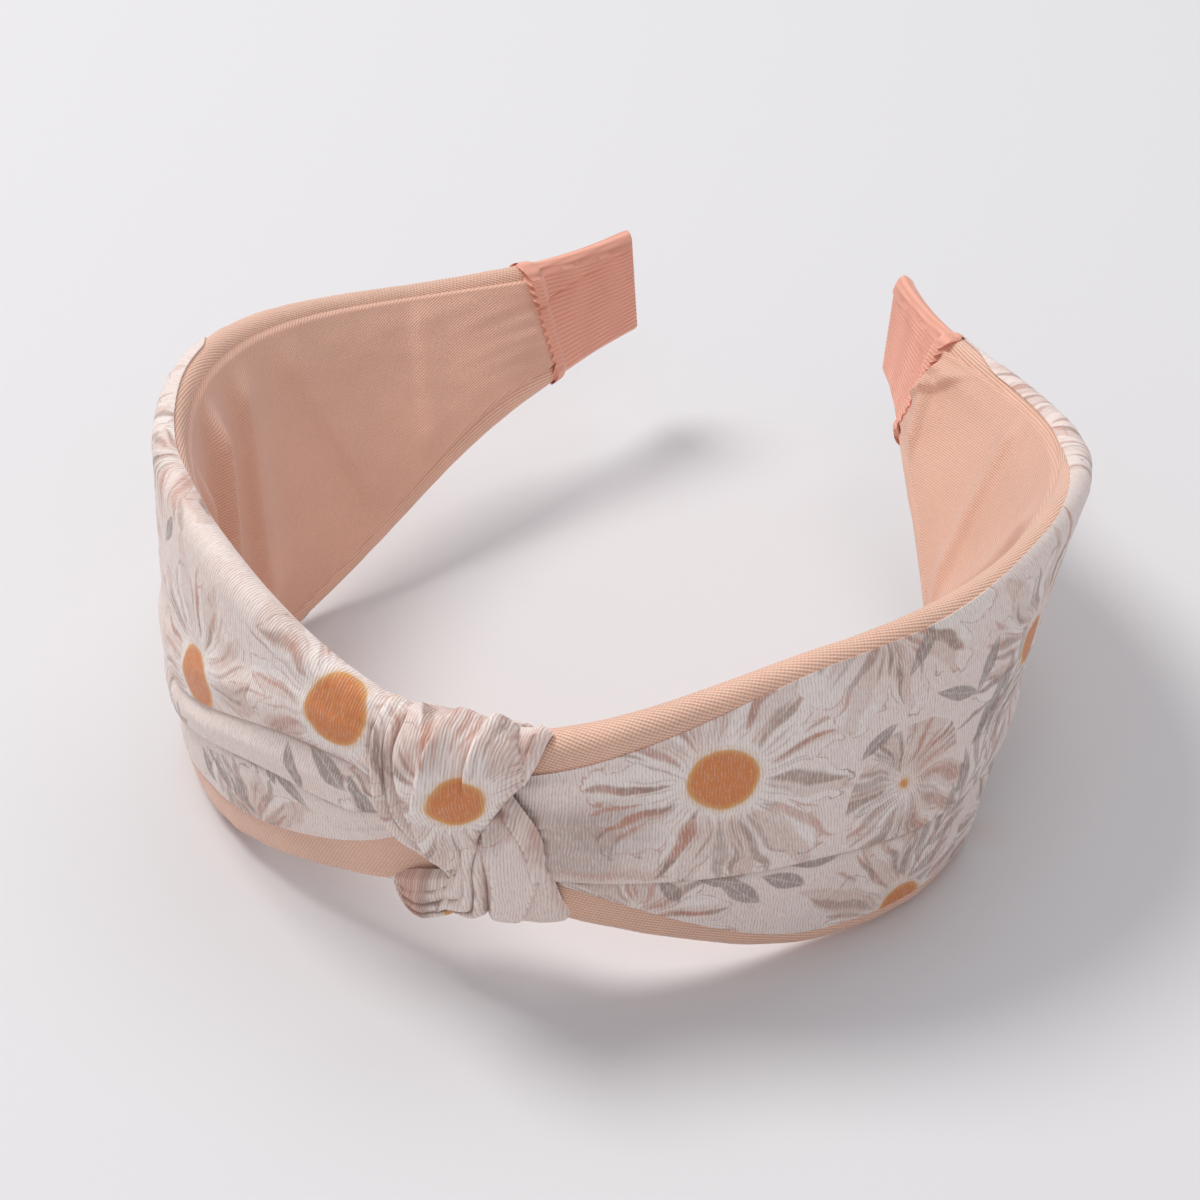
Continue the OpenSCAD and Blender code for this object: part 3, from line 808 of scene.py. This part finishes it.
def pleated(high, low, folds, step, run_points, turn_points=7):
    """The middle line of a cloth that comes down from high to low, doubled back on itself at each
    fold. A fold is a line and how far the cloth goes back up behind it. step is the distance
    between its layers. Gives the places round the band, the offs from the cover, a weight that is
    0 at the folds, and the number of folds passed."""
    base, half = CHIFFON_THICK / 2 + 0.08, step / 2
    reach, off, weight, panel = [], [], [], []

    def add(places, offs, weights, number):
        shape = (len(high), places.shape[1])
        for parts, part in ((reach, places), (off, offs), (weight, weights), (panel, number)):
            parts.append(np.broadcast_to(part, shape))

    start = high
    for number, (line, back) in enumerate(list(folds) + [(low, None)]):
        t = np.linspace(0, 1, run_points[number])[None]
        run = mix(start, line, t)
        inner = np.minimum(1, np.minimum(t, 1 - t) * run_points[number] / 10)
        if back is None:
            add(run, base, inner, number)
            break
        add(run, base + 2 * step * (1 - ease(run - line, back + 1, back + 6)), inner, number)
        turn = np.linspace(0, math.pi, turn_points)[None][:, 1:-1]
        add(line - half * np.sin(turn), base + 1.5 * step + half * np.cos(turn), 0, number)
        add(mix(line, line + back, np.linspace(0, 1, 6)[None]), base + step, 0, number)
        add(line + back + half * np.sin(turn), base + 0.5 * step + half * np.cos(turn), 0, number + 1)
        start = line + back
    return tuple(np.concatenate(parts, 1) for parts in (reach, off, weight, panel))


def scarf_edges(side, along):
    """The scarf's upper and lower edges, as places round the band. They run in towards the knot,
    and wrap over the band's edges further round."""
    corner = half_width(along) - EDGE_ROLL
    over = roll_length(along)
    if side == "right":
        wrap = (over - 3.8) * ease(along, 90, 125) * (1 - ease(along, 152, 166))
        high = corner - mix(2.6, -1.4, ease(along, 4, 54)) + 1.6 * ease(along, 62, 90) + wrap
        under = (over - 2.5) * ease(along, 66, 96) * (1 - ease(along, 118, 140))
        low = -corner + mix(6, 0.6, ease(along, 4, 46)) - under
    else:
        wrap = -1.2 * ease(along, 56, 72) - over * 1.1 * ease(along, 98, 114)
        high = corner + mix(5.2, 5.6, ease(along, 6, 24)) + wrap
        run_in = 3.9 * (1 - ease(along, 46, 66)) + 6.5 * np.exp(-(along - 6) / 7)
        under = (over - 2.5) * ease(along, 62, 90) * (1 - ease(along, 98, 116))
        low = -corner + run_in - under + 0.8 * ease(along, 98, 116)
    return high, low


def scarf_folds(side, along):
    """Pleats of the scarf: lines round the band, and how far the cloth doubles back. The lines
    close up where the band narrows."""
    widest = half_width(np.float64(FULL_TO)) - EDGE_ROLL
    narrow = np.minimum(1, (half_width(along) - EDGE_ROLL) / widest) ** ease(along, 70, FULL_TO)
    if side == "right":
        line = -6.4 - 1.8 * ease(along, 44, 66) - 3 * ease(along, 80, 150)
        return [(line * narrow, mix(4.5, 1.2, ease(along, 30, 90)))]
    upper = mix(5.6, 7.2, ease(along, 10, 16)) - 11.5 * ease(along, 20, 62) + 4 * ease(along, 70, 140)
    lower = mix(0.8, -1.6, ease(along, 8, 16)) - 10.5 * ease(along, 24, 66)
    return [(upper * narrow, mix(3.6, 1.2, ease(along, 30, 100))),
            (lower * narrow, mix(2.6, 1.0, ease(along, 16, 60)))]


def gathers(along, strand, seed):
    """Creased ridges, from 0 to 1, that run along the scarf from where it is gathered."""
    drift = waves(along * 0.5, 0 * along, seed, 34) * 0.5
    total = 0
    for count, share, shift in ((3.2, 0.5, 0.3), (5.7, 0.32, 1.9), (9.4, 0.18, 0.8)):
        total = total + share * (1 - np.abs(np.sin(math.pi * count * strand + drift + shift))) ** 1.3
    return total


def make_scarf(side):
    """One half of the printed scarf: pleated, gathered into the knot and crinkled all over."""
    right = side == "right"
    seed, drawn_in, points = (21, 1.7, (70, 40)) if right else (22, 1.3, (44, 30, 44))
    stations = np.concatenate([np.linspace(4, 60, 190), np.linspace(60.5, WRAP_FROM + 1.2, 190)])
    along = stations[:, None]
    high, low = scarf_edges(side, along)
    folds = scarf_folds(side, along)
    reach, off, weight, panel = pleated(high, low, folds, LAYER * mix(1, 0.5, ease(along, 50, 90)),
                                        points)
    strand = (reach - low) / (high - low)
    gather = drawn_in * np.exp(-(np.maximum(along, 8) - 8) / 17) + 0.25 * bump(along, 55, 45)
    bowed = bump(along, 38, 22) * 0.35 if right else bump(along, 34, 14) * 0.5
    off = off + weight * (gather * gathers(along, strand, seed)
                          + 0.14 * (1 + waves(along, reach, seed + 5, 9, 3))
                          + bowed * (1 - (2 * strand - 1) ** 2)
                          + 0.06 * waves(along, reach * 0.25, seed + 9, 1.6, 2))
    depth, height = round_band(along, reach, off)
    # Painted shade on each panel just below a pleat's fold, which the chiffon's colour darkens by
    shade = np.zeros(reach.shape)
    for number, (line, _) in enumerate(folds):
        under = np.exp(-np.maximum(line - reach, 0) / 1.5) * 0.55 * (1 - ease(along, 60, 110) * 0.6)
        shade = np.maximum(shade, under * (panel > number))
    flat = on_cloth(side, along, reach - PANEL * panel, shade)
    piece = cloth_on_band(f"scarf_cloth_{side}", side, along, depth[:, ::-1], height[:, ::-1],
                          CHIFFON_THICK, flat[:, ::-1])
    FOLDED.append((piece, (len(stations), 2 * reach.shape[1])))
    finish_piece(piece, CHIFFON, [f"scarf_{side}"], side=side)


# ---------------------------------------------------------------- end wraps
def make_end_wrap(side):
    """Ribbed ribbon folded over the end of the strip, with a slanting lap. Its pinked edge lies
    over the cover and the lining as a low collar."""
    inside, thick = CORE / 2 + FIT_GAP, 0.55
    tooth, bite, outer_collar, inner_collar = 1.7, 0.8, 0.75, 1.3
    long_side, short_side = TIP_WIDTH, 3.2
    perimeter = 2 * (long_side + short_side)
    tip = HALF_LENGTH - 0.25
    girth = np.linspace(0, perimeter, 420, endpoint=False)[None]
    zigzag = np.abs((girth / tooth) % 1 - 0.5) * 2 * bite
    along = mix(WRAP_FROM - 1.0 + zigzag, tip, np.linspace(0, 1, 90)[:, None])
    past = along - WRAP_FROM
    # Round the section: up the outer face, over the upper edge, down the inner face and back
    second = girth - long_side
    third = second - short_side
    fourth = third - long_side
    stretches = [second < 0, third < 0, fourth < 0]
    climb = np.select(stretches, [girth / long_side * 2 - 1, 1 + 0 * girth,
                                  1 - third / long_side * 2], -1)
    bend = math.pi * np.select(stretches, [0 * girth, second / short_side, 1 + 0 * girth],
                               1 + fourth / short_side)
    collar = 1 - ease(past, 0.9, 2.9)
    half = half_width(along) - 0.1 + 0.5 * collar
    rib = 0.12 * (0.5 - 0.5 * np.cos(2 * math.pi * (girth + 0.12 * past) / RIB_PITCH))
    lapped = climb * half - mix(3.6, 9.4, past / WRAP_LENGTH)
    on_inside = (third >= 0) & (fourth < 0)
    lap = (0.5 * ease(lapped, -0.15, 0.2) - 0.12 * bump(lapped, -0.35, 0.3)) * on_inside
    swell = 0.25 * ease(along, WRAP_FROM + 14, tip - 2)
    swell = swell + collar * mix(outer_collar, inner_collar, (1 - np.cos(bend)) / 2)
    close = np.sqrt(np.clip(1 - (along - tip + 1).clip(0, 1) ** 2, 0.0004, 1))
    skins = []
    for body in ((inside + 0.05) * np.minimum(close, 0.9),
                 (inside + thick + rib + lap + swell) * close):
        skins.append(place(SIDES[side], along, body * np.cos(bend),
                           climb * (half - body) + body * np.sin(bend)))
    flat = on_cloth(side, along, girth)
    shell = loft(f"end_ribbon_{side}", np.concatenate([skins[0][::-1], skins[1]]),
                 np.concatenate([flat[::-1], flat]), side=-SIDES[side], closed=True, sharp=60)
    finish_piece(shell, RIBBON, [f"end_wrap_{side}"], body=f"{side}_arm")


# ---------------------------------------------------------------- knot
KNOT_THICK = 0.45


def curve(points, t):
    """A smooth curve through points, read at t from 0 to 1."""
    points = np.array(points, float)
    points = np.concatenate([2 * points[:1] - points[1:2], points, 2 * points[-1:] - points[-2:-1]])
    place_on = np.clip(t, 0, 1) * (len(points) - 3)
    k = np.minimum(place_on.astype(int), len(points) - 4)
    f = (place_on - k)[:, None]
    p0, p1, p2, p3 = (points[k + n] for n in range(4))
    return 0.5 * (2 * p1 + (p2 - p0) * f + (2 * p0 - 5 * p1 + 4 * p2 - p3) * f ** 2
                  + (3 * p1 - p0 - 3 * p2 + p3) * f ** 3)


def grid_normals(grid, wrap=False):
    """Unit normals of a grid of points."""
    if wrap:
        down = np.roll(grid, -1, 0) - np.roll(grid, 1, 0)
    else:
        down = np.gradient(grid, axis=0)
    normal = np.cross(down, np.gradient(grid, axis=1))
    return normal / (np.linalg.norm(normal, axis=-1, keepdims=True) + 1e-12)


def knot_patch(name, node, left, right, cloth_at, dome, pleats=(), tuck=(0.9, 0.9),
               seed=1, rows=150, columns=130, closed=False, square=(2.2, 2.2), rough=0.08):
    """A folded strip of the knot's cloth between a left and a right edge. Each edge is a list of
    points: across, up and outwards from the middle of the band under the knot. dome is how high the
    strip bulges at places along it, each a share of its length and a height. A pleat is two
    places on the strip, each a share of its length and a place across from -1 to 1, then its
    height, and its width across. It is steep on its left and falls away gently on its right, or
    the other way where its width is negative."""
    t = np.linspace(0, 1, rows, endpoint=not closed)
    edges = [curve(edge, t) for edge in (left, right)]
    u = np.sin(np.linspace(-math.pi / 2, math.pi / 2, columns))
    middle = mix(edges[0][:, None], edges[1][:, None], ((u + 1) / 2)[None, :, None])
    span = np.linalg.norm(edges[1] - edges[0], axis=1)[:, None]
    power = np.where(u < 0, square[0], square[1])
    bulge = np.interp(t, *zip(*dome))[:, None]
    rise = bulge * np.minimum(span / 10, 1.3) * (1 - np.abs(u) ** power) ** 0.7
    for drop, sign in zip(tuck, (-1, 1)):
        rise = rise - drop * ease(u * sign, 0.86, 1.0)
    for (start, first), (end, last), height, width in pleats:
        share = (t[:, None] - start) / (end - start)
        gap = (u[None] - mix(first, last, share)) * np.sign(width)
        hill = np.where(gap > 0, np.exp(-(gap / width) ** 2), np.exp(-(gap / width / 0.12) ** 2))
        hill = hill * ease(share, -0.15, 0.1) * (1 - ease(share, 0.7, 1.1))
        rise = rise + height * hill * (1 - np.abs(u) ** 10)
    steps = np.linalg.norm(np.diff(middle[:, columns // 2], axis=0), axis=1)
    length = np.concatenate([[0], np.cumsum(steps)])[:, None]
    rise = rise + rough * waves(u * span / 2, length, seed, 5, 3)
    grid = middle + grid_normals(middle, closed) * rise[..., None]
    normal = grid_normals(grid, closed)
    skins = []
    for off in (KNOT_THICK / 2, -KNOT_THICK / 2):
        skin = grid + normal * off
        x, z, deep = (skin[..., n] for n in range(3))
        y = x ** 2 / 2 / ARCS[0][0] - deep - MIDDLE
        skins.append(MM * np.stack([x, y, z + LIFT], -1))
    cloth = np.stack([cloth_at[0] + middle[..., 0], cloth_at[1] - length + 0 * u], -1)
    piece = thin_sheet(name, skins, cloth, closed=closed, sharp=60)
    FOLDED.append((piece, (rows, 2 * columns)))
    finish_piece(piece, CHIFFON, [node])


def make_knot():
    """The broad turn over the front, the folds that come out from under it, and the turn's way
    back under the lower edge and up behind the band."""
    knot_patch(
        "knot_turn", "knot_wrap",
        left=((-7, 3, -3.6), (-8.2, 12.0, -3.4), (-8.6, 15.6, 0.6), (-7.9, 15.6, 4.4), (-8.3, 12.8, 7.3),
              (-7.1, 7.7, 8.3), (-5.2, 3.5, 8.1), (-3.6, -1.9, 7.4), (-0.8, -5.9, 6.4), (0, -9.5, 5.2),
              (-3, -14.6, 0), (-6.5, -12, -3.2), (-7, -5, -3.6)),
        right=((9, 3, -3.6), (9, 12.0, -3.4), (8.6, 15.6, 0.6), (8.6, 15.9, 3.8), (9.4, 14.8, 6.8),
               (9.6, 11.7, 8.2), (7.1, 7.6, 8.2), (4.4, 2.3, 7.8), (4.4, -2.0, 6.8), (3.4, -8.5, 5.4),
               (4, -14.6, 0), (8, -12, -3.2), (9, -5, -3.6)),
        cloth_at=(200, 34), seed=31, rows=300, columns=240, closed=True,
        dome=((0, 0.3), (0.2, 0.5), (0.3, 1.2), (0.5, 1.4), (0.6, 1.0), (0.75, 0.3)),
        pleats=(((0.22, -0.84), (0.66, -0.80), 1.5, 0.5), ((0.20, 0.02), (0.47, -0.64), 2.7, 0.5),
                ((0.20, 0.60), (0.41, 0.26), 2.0, 0.4)),
        square=(7, 9), tuck=(1.0, 1.2))
    knot_patch(
        "knot_corner", "knot_wrap",
        left=((3.0, 14.0, 0), (3.4, 15.8, 2.0), (3.4, 14.6, 5.0), (3.6, 12.2, 6.4), (4.0, 9.6, 6.8)),
        right=((10.6, 14.8, 0.5), (12.1, 16.8, 1.6), (11.9, 16.2, 3.4), (11.0, 13.6, 5.6),
               (9.9, 11.2, 6.8)),
        cloth_at=(224, -8), seed=43, rows=70, columns=70, rough=0.05,
        dome=((0, 0.3), (1, 0.4)), pleats=(((0.1, 0.6), (0.9, 0.7), 0.4, 0.15),), tuck=(0.4, 0.5))
    knot_patch(
        "knot_fold_left", "knot_wrap",
        left=((-10.6, 13.4, -2.5), (-11.2, 16.0, 1.6), (-11.9, 13.8, 5.8), (-12.1, 8.8, 6.5),
              (-11.3, 3.7, 6.6), (-8.8, -0.1, 6.6), (-5.1, -2.5, 6.4), (-2.5, -5.0, 6.2), (-0.4, -7.6, 6.0)),
        right=((-4, 13.4, -2.5), (-5.0, 15.6, 1.6), (-5.6, 13.4, 5.4), (-5.2, 8.8, 6.0),
               (-4.4, 4.0, 6.4), (-2.4, 0.4, 6.6), (-0.2, -2.4, 6.4), (1, -5, 6.2), (1.2, -7.4, 6.0)),
        cloth_at=(216, 10), seed=33, tuck=(0.9, 0.3), square=(7, 2.2),
        dome=((0, 0.4), (0.2, 0.7), (0.5, 1.2), (0.8, 0.9), (1, 0.5)),
        pleats=(((0.12, -0.78), (0.9, -0.74), 1.3, 0.5), ((0.16, -0.2), (0.7, -0.1), 0.8, 0.3)))
    knot_patch(
        "knot_lobe_fan", "knot_lobe_right",
        left=((3.4, 6.0, 6.4), (3.8, 2.4, 7.2), (4.2, -0.6, 7.6), (4.7, -4.8, 7.4), (4.4, -9.6, 6.2),
              (4.1, -12.7, 4.8), (4.1, -13.8, 2.0), (4.2, -12.0, -1.4)),
        right=((6.5, 10.0, 6.0), (9.0, 6.6, 6.6), (11.0, 3.6, 6.8), (12.4, -0.6, 6.6), (13.2, -6.2, 5.8),
               (14.0, -10.8, 4.8), (15.0, -13.4, 3.6), (12.5, -13.9, 1.2), (11.5, -12.0, -1.4)),
        cloth_at=(222, -6), seed=35, square=(9, 3), tuck=(1.2, 1.0),
        dome=((0, 0.6), (0.25, 1.2), (0.6, 1.2), (0.8, 0.6), (1, 0.3)),
        pleats=(((0.0, -0.4), (0.7, -0.80), 1.5, 0.5), ((0.36, 0.95), (0.70, -0.3), 1.5, -0.5),
                ((0.10, 0.55), (0.5, 0.75), 0.9, 0.3)))
    knot_patch(
        "knot_twist", "knot_lobe_left",
        left=((-0.6, 4.4, 5.6), (0.2, -1.0, 6.2), (0.6, -5.0, 7.2), (-0.4, -7.4, 7.2), (-1.8, -9.8, 6.6),
              (-3.8, -13.0, 5.6), (-5.6, -16.2, 3.8)),
        right=((5.8, 3.0, 7.2), (5.4, -2.0, 7.6), (5.2, -7.0, 7.0), (4.4, -12.0, 5.6),
               (0.6, -11.4, 6.0), (-2.0, -13.6, 5.0), (-4.2, -16.9, 3.4)),
        cloth_at=(240, -10), seed=37, square=(3, 5),
        dome=((0, 0.6), (0.4, 1.8), (0.7, 1.6), (1, 0.6)),
        pleats=(((0.05, 0.0), (0.95, -0.45), 1.4, 0.5), ((0.15, 0.6), (0.8, 0.2), 1.1, 0.4)))
    knot_patch(
        "knot_lobe_low", "knot_lobe_left",
        left=((2.0, -5.4, 5.6), (-2.3, -7.5, 5.6), (-6.4, -9.3, 5.0), (-9.2, -11.2, 4.2),
              (-10.9, -12.7, 3.4)),
        right=((1.6, -12.4, 5.0), (-2.4, -15.0, 4.8), (-4.8, -16.7, 3.8), (-7.0, -16.4, 3.2),
               (-9.0, -14.4, 3.2), (-10.7, -13.0, 3.0)),
        cloth_at=(270, -16), seed=39, square=(3, 5),
        dome=((0, 1.4), (0.5, 1.8), (1, 0.6)), tuck=(0.9, 1.4),
        pleats=(((0.1, -0.5), (0.95, -0.1), 0.6, 0.35), ((0.1, 0.1), (0.95, 0.3), 0.7, 0.35),
                ((0.1, 0.6), (0.95, 0.6), 0.6, 0.35)))


def make_stitches():
    """Short tacking stitches behind the knot, each a bowed thread."""
    low, high = (np.array(corner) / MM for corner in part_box("tack_stitches"))
    rng = np.random.default_rng(5)
    count, sides, steps, radius = 5, 8, 12, 0.24
    t = np.linspace(0, 1, steps)[:, None]
    angle = 2 * math.pi * np.arange(sides)[None] / sides
    size = radius * (0.5 + 0.5 * np.sin(math.pi * np.clip(t, 0.12, 0.88)))
    x = mix(low[0], high[0], t)
    y = (low[1] + high[1]) / 2 - 0.35 + 0.3 * np.sin(math.pi * t) + size * np.cos(angle)
    threads = []
    for height in np.linspace(low[2] + 1, high[2] - 1, count):
        z = height + (t - 0.5) * rng.uniform(0.8, 1.4) + size * np.sin(angle)
        threads.append(np.stack(np.broadcast_arrays(x, y, z), -1) * MM)
    faces = [loft_faces(steps, sides) + number * steps * sides for number in range(count)]
    flat = [np.stack(np.broadcast_arrays(x, angle * radius), -1)] * count
    piece = new_piece("tack_stitches_thread", threads, np.concatenate(faces), flat, sharp=None)
    finish_piece(piece, THREAD, ["tack_stitches"])


for name in SIDES:
    make_strip(name)
    make_foam(name)
    make_cover(name)
    make_lining(name)
    make_scarf(name)
    make_end_wrap(name)
make_knot()
make_stitches()
shut_in(FOLDED)

# ---------------------------------------------------------------- stage, light and camera
TARGET = Vector((0.0009, -0.0121, 0.0248))
VIEW_AZIMUTH, VIEW_ELEVATION, VIEW_DISTANCE, LENS = 18.29, 35.32, 0.5166, 105


def make_floor():
    size, gap = 3.0, 0.0001
    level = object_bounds()[0][2] - gap
    floor = new_piece("floor", [(-size, -size, 0), (size, -size, 0), (size, size, 0), (-size, size, 0)],
                      [(0, 1, 2, 3)], sharp=None)
    floor.location.z = level
    paint = bpy.data.materials.new("pale_floor")
    paint.use_nodes = True
    shader = paint.node_tree.nodes["Principled BSDF"]
    shader.inputs["Base Color"].default_value = (0.755, 0.745, 0.75, 1)
    shader.inputs["Roughness"].default_value = 0.6
    floor.data.materials.append(paint)


def aim(name, data, azimuth, elevation, distance):
    """Adds a lamp or a camera that looks at TARGET from a direction, in degrees."""
    a, e = math.radians(azimuth), math.radians(elevation)
    toward = Vector((math.sin(a) * math.cos(e), -math.cos(a) * math.cos(e), math.sin(e)))
    holder = bpy.data.objects.new(name, data)
    holder.location = TARGET + toward * distance
    holder.rotation_mode = "QUATERNION"
    holder.rotation_quaternion = toward.to_track_quat("Z", "Y")
    bpy.context.collection.objects.link(holder)
    return holder


def area_light(name, azimuth, elevation, distance, size, power, colour):
    light = bpy.data.lights.new(name, "AREA")
    light.shape, light.size, light.energy, light.color = "DISK", size, power, colour
    aim(name, light, azimuth, elevation, distance)


def make_camera():
    camera = bpy.data.cameras.new("camera")
    camera.lens, camera.sensor_width, camera.clip_start = LENS, 36, 0.01
    bpy.context.scene.camera = aim("camera", camera, VIEW_AZIMUTH, VIEW_ELEVATION, VIEW_DISTANCE)


def make_lights():
    world = bpy.data.worlds.new("studio")
    world.use_nodes = True
    sky = world.node_tree.nodes["Background"]
    sky.inputs["Color"].default_value = (0.93, 0.94, 1.0, 1)
    sky.inputs["Strength"].default_value = 0.5
    bpy.context.scene.world = world
    area_light("key", -106, 56, 1.6, 0.7, 14.6, (1.0, 0.985, 0.97))
    area_light("fill", 25, 48, 1.8, 1.3, 2.1, (0.99, 0.99, 1.0))
    area_light("back", 170, 60, 1.8, 1.0, 3.6, (1.0, 1.0, 1.0))


make_floor()
make_camera()
make_lights()
bpy.context.scene.view_settings.view_transform = "Standard"
